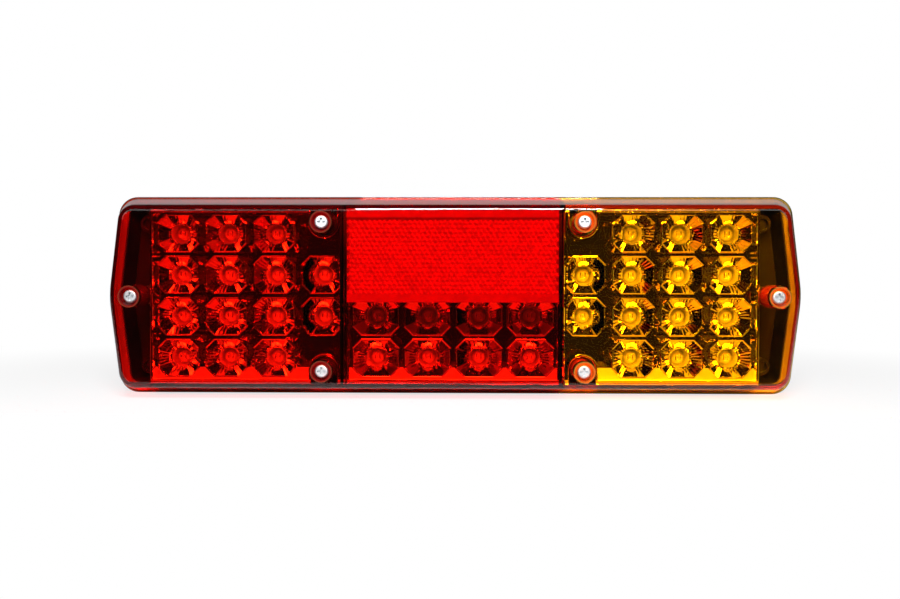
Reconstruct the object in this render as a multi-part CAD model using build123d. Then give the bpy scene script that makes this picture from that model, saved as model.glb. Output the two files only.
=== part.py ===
from build123d import *
import math
import os

# Rear combination lamp: a two-colour lens cap over three reflector trays, on a shallow housing.
# It is built lying on its back: x runs along the lamp, y up its height and z out of the
# mounting plane towards the front. It is stood up, front towards -Y, when it is written.

# Lens form, in millimetres and degrees
lamp_length = 394.0
lamp_height = 112.0
end_slope = 6.9
rim_corner_radius = 11.0
front_corner_radius = 9.0
tip_radius = 60.0
lens_depth = 36.0
lens_wall = 2.6
lens_face = 2.8
lip_width = 0.5
lip_height = 1.5
lip_round = 0.6
side_lean = 6.0
end_lean = 10.5
front_edge_radius = 3.6
section_joint = 60.0
rib_thickness = 1.8
joint_groove = 0.7

# Housing
housing_depth = 20.0
back_wall = 3.0
housing_wall = 2.6
wall_inset = 3.5
housing_lean = 3.0
housing_corner_radius = 7.0
flange_inset = 0.6
flange_thickness = 3.0
pad_height = 1.5
pad_radius = 7.5
back_rim_inset = 9.0
back_rim_width = 4.0
web_thickness = 2.0

# Gasket
gasket_thickness = 2.0
gasket_inset = 1.4
gasket_width = 4.2

# Lens screws, their wells and posts
screw_radius = 2.0
screw_head_radius = 3.7
screw_head_height = 2.8
screw_crown = 1.0
recess_length = 4.4
recess_width = 1.1
recess_depth = 1.6
screw_clearance = 0.3
screw_bite = 14.0
well_depth = 5.0
well_clearance = 1.1
tube_wall = 1.7
post_wall = 3.2
end_screw_inset = 21.1
inner_screw_x = 71.3
inner_screw_inset = 15.4

# Mounting studs
stud_radius = 3.0
stud_reach = 20.0
stud_embed = 9.0
stud_root_wall = 0.4
stud_chamfer = 0.8
stud_fit = 0.05
boss_wall = 1.6
boss_height = 10.0
boss_round = 0.5
boss_recess_depth = 3.5
boss_recess_wall = 1.6
stud_inset_x = 20.0
stud_inset_y = 15.0

# Boards and light emitting diodes
standoff_height = 13.9
standoff_wall = 2.0
board_thickness = 1.6
board_margin = 0.5
board_gap = 2.5
diode_radius = 4.0
diode_flange_radius = 4.6
diode_flange_height = 1.2
diode_body_height = 0.8
lead_width = 0.6
lead_length = 3.5
lead_spacing = 2.54
lead_clearance = 0.2

# Reflector trays
rows = 4
columns = 4
cup_depth = 13.5
cup_wall = 1.0
cup_corner = 4.6
cup_web_x = 4.9
cup_web_y = 3.4
centre_web_x = 3.9
centre_margin = 1.7
cup_margin = 1.5
cup_floor_clearance = 0.4
cup_pipe_spread = 1.3
cup_pipe_height = 8.0
inner_cup_start = 2.2
tray_plate = 1.8
tray_wall = 1.4
tray_wall_height = 7.5
tray_clearance = 1.6
divider_clearance = 0.3
end_clearance = 1.2
notch_clearance = 0.8
board_notch_clearance = 0.7
pillar_radius = 3.4
pillar_hole_depth = 10.0
centre_pillar_drop = 6.0
centre_tray_lap = 15.0

# Screws from the back through housing and board into the trays
module_screw_radius = 1.5
module_head_radius = 3.0
module_head_height = 1.8
module_head_sink = 2.0
module_head_clearance = 0.4
module_screw_clearance = 0.2
module_screw_bite = 9.0

# Reflex reflector and its backing
reflex_bottom = -3.0
reflex_side_gap = 2.6
reflex_top_gap = 0.6
reflex_plate = 3.0
reflex_corner = 2.0
backing_height = 4.0
backing_wall = 1.6
backing_inset = 1.2

# Cable entry, terminal block, resistors and wires
grommet_clearance = 2.0
grommet_bore = 3.75
grommet_neck_wall = 2.25
grommet_flange = 3.0
grommet_inner_lip = 2.0
grommet_inner_height = 2.0
grommet_nose = 2.5
grommet_fit = 0.1
block_length = 44.0
block_width = 12.0
block_clearance = 4.0
block_y = -9.0
clamp_count = 6
clamp_radius = 1.5
clamp_height = 3.0
clamp_hole_depth = 4.0
clamp_fit = 0.1
clamp_slot = 0.6
resistor_count = 6
resistor_radius = 2.4
resistor_length = 14.0
resistor_lead = 0.4
resistor_lift = 0.6
resistor_pitch = 7.0
resistor_columns = 2
resistor_row_gap = 24.0
wire_radius = 0.9
wire_spacing = 6.0
wire_bend = 4.0
wire_run = 12.0

# Levels above the mounting plane
floor_z = pad_height + back_wall
board_back_z = floor_z + standoff_height
board_z = board_back_z + board_thickness
cup_floor_z = board_z + board_gap
mouth_z = cup_floor_z + cup_depth
tray_top_z = mouth_z + tray_wall_height
rim_z = housing_depth + gasket_thickness
front_z = rim_z + lens_depth
inner_front_z = front_z - lens_face
seat_z = front_z - well_depth

# Radii that follow from the fasteners
well_radius = screw_head_radius + well_clearance
tube_radius = well_radius + tube_wall
bore_radius = screw_radius + screw_clearance
post_radius = screw_radius + post_wall
stud_root_radius = stud_radius + stud_root_wall
boss_radius = stud_root_radius + boss_wall
standoff_radius = module_screw_radius + standoff_wall
module_bore = module_screw_radius + module_screw_clearance
grommet_neck = grommet_bore + grommet_neck_wall
grommet_flange_radius = grommet_neck + grommet_flange

# Places of the fasteners and of the cable entry, which keeps clear of the back rim
end_screw_x = lamp_length / 2 - end_screw_inset
inner_screw_y = lamp_height / 2 - inner_screw_inset
inner_screws = [(sx * inner_screw_x, sy * inner_screw_y) for sx in (-1, 1) for sy in (-1, 1)]
lens_screw_places = [(-end_screw_x, 0.0), (end_screw_x, 0.0)] + inner_screws
stud_x = lamp_length / 2 - stud_inset_x
stud_y = lamp_height / 2 - stud_inset_y
stud_places = [(sx * stud_x, sy * stud_y) for sx in (-1, 1) for sy in (-1, 1)]
back_rim_inner = lamp_height / 2 - back_rim_inset - back_rim_width
grommet_place = (0.0, grommet_flange_radius + grommet_clearance - back_rim_inner)


def lens_half_height(z):
    """Half height inside the lens at level z."""
    lean = side_lean * (z - rim_z) / lens_depth
    return lamp_height / 2 - lip_width - lens_wall - lean


# Tray outlines: the side trays reach from the divider to the end screws
tray_half_height = lens_half_height(tray_top_z) - tray_clearance
tray_end_x = end_screw_x - tube_radius - end_clearance
divider_face = section_joint + rib_thickness / 2 + divider_clearance
centre_half_width = section_joint - rib_thickness / 2 - divider_clearance
centre_tray_top = reflex_bottom + centre_tray_lap

# Grid of the cups, spread over the room inside the tray walls
cups_half_height = tray_half_height - tray_wall - cup_margin
pitch_y = (2 * cups_half_height + cup_web_y) / rows
cup_height = pitch_y - cup_web_y
row_y = [(rows - 1 - 2 * row) * pitch_y / 2 for row in range(rows)]
cups_end_x = tray_end_x - tray_wall - cup_margin
cups_start_x = section_joint + inner_cup_start
pitch_x = (cups_end_x - cups_start_x + cup_web_x) / columns
cup_width = pitch_x - cup_web_x
column_x = [cups_start_x + cup_width / 2 + column * pitch_x for column in range(columns)]
centre_span = 2 * (centre_half_width - tray_wall - centre_margin)
centre_pitch = (centre_span + centre_web_x) / columns
centre_cup_width = centre_pitch - centre_web_x
centre_x = [(2 * column - columns + 1) * centre_pitch / 2 for column in range(columns)]
side_cups = [(column, row) for row in range(rows) for column in range(columns)]
corner_cups = [(0, 0), (0, rows - 1)]
side_cups = [cup for cup in side_cups if cup not in corner_cups]
right_cup_places = [(column_x[column], row_y[row]) for column, row in side_cups]
left_cup_places = [(-x, y) for x, y in right_cup_places]
centre_rows = row_y[rows // 2:]
centre_cup_places = [(x, y) for y in centre_rows for x in centre_x]

# Pillars stand in the diamonds that the cut cup corners leave
pillar_y = (row_y[0] + row_y[1]) / 2
pillar_columns = [(column_x[0] + column_x[1]) / 2, (column_x[2] + column_x[3]) / 2]
right_pillars = [(x, sy * pillar_y) for x in pillar_columns for sy in (-1, 1)]
left_pillars = [(-x, y) for x, y in right_pillars]
centre_pillar_x = (centre_x[2] + centre_x[3]) / 2
centre_pillar_top = row_y[1] - centre_pillar_drop
centre_pillars = [(sx * centre_pillar_x, y) for sx in (-1, 1) for y in (-pillar_y, centre_pillar_top)]
pillar_places = left_pillars + centre_pillars + right_pillars


def outline(inset_x, inset_y, corner):
    """Long six-sided outline with blunt pointed ends, inset from the lens rim."""
    half_height = lamp_height / 2 - inset_y
    blunting = tip_radius * (1 / math.cos(math.radians(end_slope)) - 1)
    tip_x = lamp_length / 2 - inset_x + blunting
    corner_x = tip_x - half_height * math.tan(math.radians(end_slope))
    right = [(corner_x, -half_height), (tip_x, 0), (corner_x, half_height)]
    left = [(-x, -y) for x, y in right]
    shape = make_face(Polyline(*right, *left, close=True))
    tips = [point for point in shape.vertices() if abs(point.Y) < half_height / 2]
    shape = fillet(tips, tip_radius)
    corners = [point for point in shape.vertices() if abs(point.Y) > half_height * 0.99]
    return fillet(corners, corner)


def slab(shape, low, high):
    """Straight prism of a shape between two levels."""
    return Pos(0, 0, low) * extrude(shape, high - low)


def drafted(low_shape, low, high_shape, high):
    """Solid with straight drafted walls between two outlines."""
    sections = [Pos(0, 0, low) * low_shape, Pos(0, 0, high) * high_shape]
    return loft([section.face() for section in sections], ruled=True)


def rod(place, radius, low, high):
    """Upright round bar at a place."""
    return Pos(place[0], place[1], low) * Cylinder(
        radius, high - low, align=(Align.CENTER, Align.CENTER, Align.MIN)
    )


def block(low, high):
    """Box between two corners."""
    size = [b - a for a, b in zip(low, high)]
    return Pos(*low) * Box(*size, align=(Align.MIN, Align.MIN, Align.MIN))


def octagon(width, height, corner):
    """Oblong with its corners cut off at 45 degrees."""
    x, y = width / 2, height / 2
    upper = [(x, y - corner), (x - corner, y), (corner - x, y), (-x, y - corner)]
    lower = [(-px, -py) for px, py in upper]
    return make_face(Polyline(*upper, *lower, close=True))


def make_lens():
    """Lens cap in one piece: shell, lip, dividers and screw tubes."""
    base = outline(lip_width, lip_width, rim_corner_radius - lip_width)
    front = outline(lip_width + end_lean, lip_width + side_lean, front_corner_radius)
    envelope = drafted(base, rim_z, front, front_z)
    envelope = fillet(envelope.edges().group_by(Axis.Z)[-1], front_edge_radius)
    wall = lip_width + lens_wall
    share = (inner_front_z - rim_z) / lens_depth
    inner_base = outline(wall, wall, rim_corner_radius - wall)
    inner_front = outline(
        wall + end_lean * share, wall + side_lean * share, front_corner_radius - lens_wall
    )
    lip = slab(outline(0, 0, rim_corner_radius), rim_z, rim_z + lip_height)
    lip = fillet(lip.edges().group_by(Axis.Z)[-1], lip_round)
    shell = envelope + lip - drafted(inner_base, rim_z, inner_front, inner_front_z)
    half, half_rib = lamp_height / 2, rib_thickness / 2
    inside = [rod(place, tube_radius, mouth_z, front_z) for place in lens_screw_places]
    for middle in (-section_joint, section_joint):
        low = (middle - half_rib, -half, mouth_z - tray_plate)
        inside.append(block(low, (middle + half_rib, half, front_z)))
    shell = shell + (Part() + inside & envelope)
    cuts = [rod(place, well_radius, seat_z, front_z) for place in lens_screw_places]
    cuts += [rod(place, bore_radius, mouth_z, seat_z) for place in lens_screw_places]
    groove = Rot(0, 45, 0) * Box(joint_groove, lamp_height, joint_groove)
    cuts.append(Pos(section_joint, 0, front_z) * groove)
    return shell - cuts


def split_lens(lens):
    """Red and amber mouldings, bonded face to face at the joint."""
    reach, half = lamp_length / 2, lamp_height / 2
    red_side = block((-reach, -half, 0), (section_joint, half, front_z))
    amber_side = block((section_joint, -half, 0), (reach, half, front_z))
    return lens & red_side, lens & amber_side


def make_housing():
    """Shallow dark tray with posts for the lens, bosses for the studs and stand-offs."""
    back_inset = wall_inset + housing_lean
    back = outline(back_inset, back_inset, housing_corner_radius)
    top = outline(wall_inset, wall_inset, housing_corner_radius)
    flange = outline(flange_inset, flange_inset, rim_corner_radius - flange_inset)
    inner_corner = housing_corner_radius - housing_wall
    lean_share = (floor_z - pad_height) / (housing_depth - pad_height)
    low_inset = back_inset + housing_wall - housing_lean * lean_share
    top_inset = wall_inset + housing_wall
    inner_low = outline(low_inset, low_inset, inner_corner)
    inner_top = outline(top_inset, top_inset, inner_corner)
    cavity = drafted(inner_low, floor_z, inner_top, housing_depth)
    body = drafted(back, pad_height, top, housing_depth)
    body = body + slab(flange, housing_depth - flange_thickness, housing_depth) - cavity
    rim_inset = back_rim_inset + back_rim_width
    back_rim = outline(back_rim_inset, back_rim_inset, housing_corner_radius)
    back_rim = back_rim - outline(rim_inset, rim_inset, inner_corner)
    webs = []
    for x, y in inner_screws:
        low_y, high_y = sorted((y, math.copysign(lamp_height / 2, y)))
        low = (x - web_thickness / 2, low_y, pad_height)
        webs.append(block(low, (x + web_thickness / 2, high_y, housing_depth)))
    boss_top = floor_z + boss_height
    added = [slab(back_rim, 0, pad_height)]
    added += [rod(place, pad_radius, 0, pad_height) for place in stud_places]
    boss = rod((0, 0), boss_radius, pad_height, boss_top)
    boss = fillet(boss.edges().group_by(Axis.Z)[-1], boss_round)
    added += [Pos(*place) * boss for place in stud_places]
    added += [rod(place, post_radius, pad_height, mouth_z) for place in lens_screw_places]
    added += [rod(place, standoff_radius, pad_height, board_back_z) for place in pillar_places]
    body = body + (Part() + webs & cavity) + added
    recess_floor = boss_top - boss_recess_depth
    head_seat = pad_height + module_head_sink
    head_room = module_head_radius + module_head_clearance
    cuts = [rod(place, stud_root_radius + stud_fit, 0, stud_embed) for place in stud_places]
    cuts += [rod(place, boss_radius - boss_recess_wall, recess_floor, boss_top) for place in stud_places]
    cuts += [
        rod(place, screw_radius + stud_fit, mouth_z - screw_bite, mouth_z)
        for place in lens_screw_places
    ]
    cuts += [rod(place, module_bore, pad_height, board_back_z) for place in pillar_places]
    cuts += [rod(place, head_room, pad_height, head_seat) for place in pillar_places]
    cuts.append(rod(grommet_place, grommet_neck + grommet_fit, pad_height, floor_z))
    return body - cuts


def make_gasket():
    """Flat seal between the housing flange and the lens rim."""
    outer = outline(gasket_inset, gasket_inset, rim_corner_radius - gasket_inset)
    inset = gasket_inset + gasket_width
    inner = outline(inset, inset, rim_corner_radius - inset)
    return slab(outer - inner, housing_depth, rim_z)


def notch(x, y, radius):
    """Round-ended notch, open towards the nearer long edge."""
    width = 2 * radius
    run = Pos(x, y + math.copysign(lamp_height / 4, y)) * Rectangle(width, lamp_height / 2)
    return Pos(x, y) * Circle(radius) + run


def cup(width, grow):
    """Octagonal bowl, open below: a steep pipe round the diode and a plain cone to the mouth."""
    floor_share = 2 * (diode_radius + cup_floor_clearance) / cup_height
    pipe_share = floor_share + 2 * cup_pipe_spread / cup_height
    rings = []
    for share, height in ((floor_share, 0), (pipe_share, cup_pipe_height), (1, cup_depth)):
        corner = cup_corner * share + grow * (2 - math.sqrt(2))
        ring = octagon(width * share + 2 * grow, cup_height * share + 2 * grow, corner)
        rings.append((Pos(0, 0, cup_floor_z + height) * ring).face())
    return loft(rings, ruled=True)


def make_tray(low, high, cups, width, pillars, notches):
    """Metallised tray: walls round a plate with a bowl for each diode."""
    bound = block((*low, board_z), (*high, tray_top_z))
    room_low = [value + tray_wall for value in low]
    room_high = [value - tray_wall for value in high]
    plate_z = mouth_z - tray_plate
    outer = block((*low, plate_z), (*high, tray_top_z))
    outer = outer - block((*room_low, mouth_z), (*room_high, tray_top_z))
    notch_radius = tube_radius + notch_clearance
    collars = [slab(notch(x, y, notch_radius + tray_wall), plate_z, tray_top_z) for x, y in notches]
    bowl, hollow = cup(width, cup_wall), cup(width, 0)
    posts = [rod(place, pillar_radius, board_z, plate_z) for place in pillars]
    body = outer + [Pos(*place) * bowl for place in cups] + posts + collars
    holes = [Pos(*place) * hollow for place in cups]
    hole_top = board_z + pillar_hole_depth
    holes += [rod(place, module_screw_radius + stud_fit, board_z, hole_top) for place in pillars]
    end_walls = [
        block((low[0], low[1], cup_floor_z), (room_low[0], high[1], mouth_z)),
        block((room_high[0], low[1], cup_floor_z), (high[0], high[1], mouth_z)),
    ]
    body = (body - holes + end_walls) & bound
    return body - [slab(notch(x, y, notch_radius), 0, front_z) for x, y in notches]


def make_board(low, high, cups, pillars, notches):
    """Circuit board with holes for the diode leads and the screws."""
    low = [value + board_margin for value in low]
    high = [value - board_margin for value in high]
    body = block((*low, board_back_z), (*high, board_z))
    holes = [rod(place, module_bore, board_back_z, board_z) for place in pillars]
    lead_hole = lead_width / math.sqrt(2) + lead_clearance
    for x, y in cups:
        for side in (-1, 1):
            holes.append(rod((x + side * lead_spacing / 2, y), lead_hole, board_back_z, board_z))
    cut_radius = post_radius + board_notch_clearance
    for x, y in notches:
        holes.append(slab(notch(x, y, cut_radius), board_back_z, board_z))
    return body - holes


def make_diode():
    """Round diode: flange, body, domed top and two leads."""
    top = board_z + diode_flange_height + diode_body_height
    middle = (0, 0)
    half = lead_width / 2
    body = rod(middle, diode_flange_radius, board_z, board_z + diode_flange_height)
    upper = block((-diode_radius, -diode_radius, top), (diode_radius, diode_radius, top + diode_radius))
    dome = Pos(0, 0, top) * Sphere(diode_radius) & upper
    body = body + rod(middle, diode_radius, board_z, top) + dome
    for side in (-1, 1):
        x = side * lead_spacing / 2
        body = body + block((x - half, -half, board_z - lead_length), (x + half, half, board_z))
    return body


def make_lens_screws():
    """Pan-head screws with a cross recess."""
    screws = []
    for place in lens_screw_places:
        head_top = seat_z + screw_head_height
        head = rod(place, screw_head_radius, seat_z, head_top)
        head = fillet(head.edges().group_by(Axis.Z)[-1], screw_crown)
        shank = rod(place, screw_radius, mouth_z - screw_bite, seat_z)
        screw = head + shank
        for turn in (0, 90):
            arm = Box(recess_length, recess_width, 2 * recess_depth)
            screw = screw - Pos(place[0], place[1], head_top) * Rot(0, 0, turn) * arm
        screws.append(screw)
    return screws


def make_module_screws():
    """Screws driven from the back through the housing into the tray pillars."""
    seat = pad_height + module_head_sink
    screws = []
    for place in pillar_places:
        head = rod(place, module_head_radius, seat - module_head_height, seat)
        shank = rod(place, module_screw_radius, seat, board_z + module_screw_bite)
        screws.append(head + shank)
    return screws


def make_studs():
    """Threaded studs, each with a thicker root moulded into a housing boss."""
    studs = []
    for place in stud_places:
        stud = rod(place, stud_radius, -stud_reach, 0)
        stud = chamfer(stud.edges().group_by(Axis.Z)[0], stud_chamfer)
        studs.append(stud + rod(place, stud_root_radius, 0, stud_embed))
    return studs


def make_reflex():
    """Reflex plate on the inside of the lens face, and the cover sealed to its back."""
    half_width = section_joint - reflex_side_gap
    top = lens_half_height(inner_front_z - reflex_plate) - reflex_top_gap
    middle = (top + reflex_bottom) / 2
    width, height = 2 * half_width, top - reflex_bottom
    back_z = inner_front_z - reflex_plate
    plate_shape = Pos(0, middle) * RectangleRounded(width, height, reflex_corner)
    plate = slab(plate_shape, back_z, inner_front_z)
    cover_width, cover_height = width - 2 * backing_inset, height - 2 * backing_inset
    cover_shape = Pos(0, middle) * Rectangle(cover_width, cover_height)
    hollow = Pos(0, middle) * Rectangle(cover_width - 2 * backing_wall, cover_height - 2 * backing_wall)
    cover = slab(cover_shape, back_z - backing_height, back_z)
    cover = cover - slab(hollow, back_z - backing_height + backing_wall, back_z)
    return plate, cover


def make_grommet():
    """Rubber cable grommet seated in the back wall."""
    lip_z = floor_z + grommet_inner_height
    body = rod(grommet_place, grommet_neck, 0, lip_z + grommet_nose)
    body = body + rod(grommet_place, grommet_flange_radius, 0, pad_height)
    body = body + rod(grommet_place, grommet_neck + grommet_inner_lip, floor_z, lip_z)
    return body - rod(grommet_place, grommet_bore, 0, lip_z + grommet_nose)


def make_terminal_block():
    """Terminal block on the housing floor and its clamp screws."""
    top = board_back_z - block_clearance
    low = (-block_length / 2, block_y - block_width / 2, floor_z)
    high = (block_length / 2, block_y + block_width / 2, top)
    body = block(low, high)
    step = block_length / clamp_count
    screws = []
    for index in range(clamp_count):
        place = (low[0] + (index + 0.5) * step, block_y)
        body = body - rod(place, clamp_radius + clamp_fit, top - clamp_hole_depth, top)
        screw = rod(place, clamp_radius, top - clamp_hole_depth, top - clamp_hole_depth + clamp_height)
        slot = Pos(place[0], place[1], top - clamp_hole_depth + clamp_height)
        screws.append(screw - slot * Box(2 * clamp_radius, clamp_slot, 2 * clamp_slot))
    return body, screws


def make_resistors():
    """Series resistors on the centre board, behind the reflex plate."""
    per_column = resistor_count // resistor_columns
    middle_y = (centre_tray_top + tray_half_height) / 2
    start_y = middle_y - (per_column - 1) * resistor_pitch / 2
    lift = board_z + resistor_lift + resistor_radius
    bodies = []
    for index in range(resistor_count):
        column, row = divmod(index, per_column)
        x = (column - (resistor_columns - 1) / 2) * resistor_row_gap
        y = start_y + row * resistor_pitch
        body = Pos(x, y, lift) * Rot(0, 90, 0) * Cylinder(resistor_radius, resistor_length)
        for side in (-1, 1):
            leg = (x + side * (resistor_length / 2 - resistor_lead), y)
            body = body + rod(leg, resistor_lead, board_z, lift)
        bodies.append(body)
    return bodies


def wire(points):
    """Round wire along straight runs with one rounded bend."""
    path = FilletPolyline(*points, radius=wire_bend)
    return sweep(Plane(origin=path @ 0, z_dir=path % 0) * Circle(wire_radius), path=path)


def make_wires():
    """Pairs of wires from the terminal block to the three boards."""
    level = (floor_z + board_back_z - block_clearance) / 2
    wires = {}
    for name, side in (("left", -1), ("right", 1)):
        start, end = side * block_length / 2, side * pillar_columns[0]
        wires[name] = []
        for offset in (-wire_spacing / 2, wire_spacing / 2):
            y = block_y + offset
            wires[name].append(wire([(start, y, level), (end, y, level), (end, y, board_back_z)]))
    wires["centre"] = []
    for x in (-wire_spacing / 2, wire_spacing / 2):
        start = block_y + block_width / 2
        end = start + wire_run
        wires["centre"].append(wire([(x, start, level), (x, end, level), (x, end, board_back_z)]))
    return wires


def write(name, body):
    """Stand a piece, or a group of separate pieces, on its feet and write it."""
    solids = body if isinstance(body, list) else [body]
    stood = [Rot(90, 0, 0) * solid for piece in solids for solid in piece.solids()]
    shape = stood[0] if len(stood) == 1 else Compound(children=stood)
    export_step(shape, f"parts/{name}.step")


os.makedirs("parts", exist_ok=True)

lens_red, lens_amber = split_lens(make_lens())
write("lens_red", lens_red)
write("lens_amber", lens_amber)
write("housing", make_housing())
write("gasket", make_gasket())

right_low, right_high = (divider_face, -tray_half_height), (tray_end_x, tray_half_height)
centre_low = (-centre_half_width, -tray_half_height)
centre_high = (centre_half_width, centre_tray_top)
centre_board_high = (centre_half_width, tray_half_height)
right_notches = [place for place in inner_screws if place[0] > 0]

tray_right = make_tray(right_low, right_high, right_cup_places, cup_width, right_pillars, right_notches)
tray_centre = make_tray(
    centre_low, centre_high, centre_cup_places, centre_cup_width, centre_pillars, notches=[]
)
board_right = make_board(right_low, right_high, right_cup_places, right_pillars, right_notches)
write("tray_right", tray_right)
write("tray_left", mirror(tray_right, Plane.YZ))
write("tray_centre", tray_centre)
write("board_right", board_right)
write("board_left", mirror(board_right, Plane.YZ))
write(
    "board_centre",
    make_board(centre_low, centre_board_high, centre_cup_places, centre_pillars, notches=[]),
)

diode = make_diode()
cup_places = {"left": left_cup_places, "centre": centre_cup_places, "right": right_cup_places}
for section, places in cup_places.items():
    for number, place in enumerate(places, start=1):
        write(f"diode_{section}_{number:02d}", Pos(*place) * diode)

reflex_plate_body, reflex_cover_body = make_reflex()
write("reflex_reflector", reflex_plate_body)
write("reflex_backing", reflex_cover_body)
write("lens_screws", make_lens_screws())
write("module_screws", make_module_screws())
write("mounting_studs", make_studs())
write("cable_grommet", make_grommet())
terminal_body, terminal_screw_bodies = make_terminal_block()
write("terminal_block", terminal_body)
write("terminal_screws", terminal_screw_bodies)
write("resistors", make_resistors())
for name, pair in make_wires().items():
    write(f"wires_{name}", pair)
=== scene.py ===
import math
import bmesh
import bpy
from mathutils import Matrix, Quaternion, Vector
from mathutils.geometry import delaunay_2d_cdt


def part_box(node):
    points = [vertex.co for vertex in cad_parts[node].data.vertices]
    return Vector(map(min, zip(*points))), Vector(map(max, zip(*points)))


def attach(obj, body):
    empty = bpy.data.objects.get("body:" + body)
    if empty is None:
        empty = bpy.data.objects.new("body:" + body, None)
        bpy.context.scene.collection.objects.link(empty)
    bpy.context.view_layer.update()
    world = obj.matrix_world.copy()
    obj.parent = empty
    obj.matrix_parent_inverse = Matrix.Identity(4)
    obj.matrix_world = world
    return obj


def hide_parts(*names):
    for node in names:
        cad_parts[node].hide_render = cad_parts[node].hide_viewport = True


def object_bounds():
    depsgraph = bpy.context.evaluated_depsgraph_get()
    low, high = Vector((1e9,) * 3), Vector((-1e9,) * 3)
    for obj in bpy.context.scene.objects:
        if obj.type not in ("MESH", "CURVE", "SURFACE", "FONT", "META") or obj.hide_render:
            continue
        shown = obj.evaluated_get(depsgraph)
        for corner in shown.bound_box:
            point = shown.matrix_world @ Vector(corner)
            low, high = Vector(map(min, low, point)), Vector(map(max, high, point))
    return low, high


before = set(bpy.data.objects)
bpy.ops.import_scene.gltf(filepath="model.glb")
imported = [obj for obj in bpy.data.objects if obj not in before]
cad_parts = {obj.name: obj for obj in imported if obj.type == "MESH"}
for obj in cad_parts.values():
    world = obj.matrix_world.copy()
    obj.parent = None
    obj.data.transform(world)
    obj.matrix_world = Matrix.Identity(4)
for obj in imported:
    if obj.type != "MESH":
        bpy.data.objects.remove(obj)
cad_box = [list(corner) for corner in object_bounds()]

# The pieces are built lying on their back, in millimetres: x along the lamp, y up and z out of
# the mounting plane. They are stood up, in metres, when they are linked.
MM = 0.001
STAND_UP = Matrix(((1, 0, 0, 0), (0, 0, -1, 0), (0, 1, 0, 0), (0, 0, 0, 1)))
SECTIONS = ("left", "centre", "right")

# Camera, fitted to the photograph: place on the bench, angles in degrees, focal length in pixels
IMAGE_WIDTH = 900
SENSOR_WIDTH = 36.0
CAMERA_PLACE = (10.8, 16.6, 647.4)
CAMERA_YAW = -1.18
CAMERA_PITCH = -1.74
CAMERA_ROLL = 0.07
FOCAL_PIXELS = 1093.8

# Meshes: joining distances, and the angles in degrees past which an edge is sharp
WELD_DISTANCE = 0.004
SLIVER_LENGTH = 0.002
NODE_WELD_DISTANCE = 0.001
OUTLINE_TOLERANCE = 1e-4
DIODE_SHARP = 35
TRAY_SHARP = 6
REFLEX_SHARP = 10
STUD_SHARP = 50

# Range of the noise over which colours and gloss drift, and its usual detail
COLOUR_DRIFT = (0.35, 0.65)
GLOSS_DRIFT = (0.3, 0.7)
NOISE_DETAIL = 4.0

# Lens: its optics, the thickness of its face, and the matt zone round its screw wells
LENS_IOR = 1.49
LENS_RIPPLE = 0.006
LENS_FACE = 2.8
FROST_RADIUS = 6.0
FROST_EDGE = 0.6
FROST_CLEARNESS = 0.4
FROST_RED = (0.22, 0.008, 0.008)
FROST_AMBER = (0.75, 0.13, 0.015)

# Reflector trays; wall edges that turn by more than EDGE_ANGLE, in radians, are rounded
TRAY_WALL = 1.4
TRAY_WALL_HEIGHT = 7.5
TRAY_SKIN = 0.6
TRAY_PLATE = 1.8
MIRROR_COLOUR = (0.95, 0.95, 0.95)
NOTCH_RADIUS = 7.3
NOTCH_STEPS = 20
RAMP_START = 40.0
RAMP_SLOPE = 0.12
EDGE_ANGLE = 1.2
EDGE_LEVEL = 0.01
EDGE_ROUND = 0.5
EDGE_STEPS = 4
EDGE_PROFILE = 0.5

# Cups of the trays: the pipe is a share of the depth, and its flare a share of the widening
CUP_DEPTH = 13.5
CUP_CORNER = 4.6
CUP_WEB_Y = 3.4
SIDE_WEB_X = 4.9
CENTRE_WEB_X = 3.9
CUP_HOLE_RADIUS = 4.12
CUP_HOLE_LIP = 1.0
CUP_PIPE = 0.60
CUP_PIPE_FLARE = 0.20
CUP_STEPS = 9
BEAD_WIDTH = 0.9
BEAD_HEIGHT = 0.4
BEAD_STEPS = 6
FLUTE_DEPTH = 0.08
STRAIGHT_FLUTES = 5
DIAGONAL_FLUTES = 3

# Diodes: the core's profile is in radii and levels over the base
DIODE_SEGMENTS = 32
DIODE_RADIUS = 4.0
DIODE_FLANGE_RADIUS = 4.6
DIODE_FLANGE_HEIGHT = 1.2
DIODE_BODY_HEIGHT = 0.8
DOME_STEPS = 8
RESIN_IOR = 1.5
RESIN_RIPPLE = 0.01
CORE_PROFILE = ((0.0, 4.9), (1.9, 4.9), (2.8, 4.3), (3.4, 3.2), (3.6, 2.0), (3.6, 0.1), (0.0, 0.1))
CORE_GLOW = 5.0
BAR_GAP = 2.4
BAR_SIZE = (0.6, 3.2, 0.25)
CHIP_SIZE = (0.7, 0.7, 0.2)
LEAD_WIDTH = 0.6
LEAD_SPACING = 2.54
LEAD_LENGTH = 3.5

# Reflex prisms
PRISM_PITCH = 2.73
PRISM_HEIGHT = 0.9
PRISM_SKIRT = 0.1
PRISM_TOP_STRIP = 5.5
PRISM_BOTTOM_STRIP = 3.6
PRISM_BORDER_GAP = 1.2
PRISM_BORDER_RISE = 0.5
PRISM_AIR_GAP = 0.2

# Stud threads
STUD_SEGMENTS = 32
THREAD_PITCH = 1.0
THREAD_DEPTH = 0.55
THREAD_STEPS = 8
STUD_RADIUS = 3.0
STUD_CHAMFER = 0.8

# Floor, in metres, and the share of plain white in it near the lamp and away from it
FLOOR_GAP = 0.0002
FLOOR_SIDE = 2.5
FLOOR_FRONT = -0.12
FLOOR_BACK = 3.0
PAPER_COLOUR = (0.92, 0.92, 0.92)
PAPER_ROUGHNESS = 0.9
SHADOW_RANGE = (0.22, 0.50)
WHITE_RANGE = (0.75, 1.0)

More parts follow.
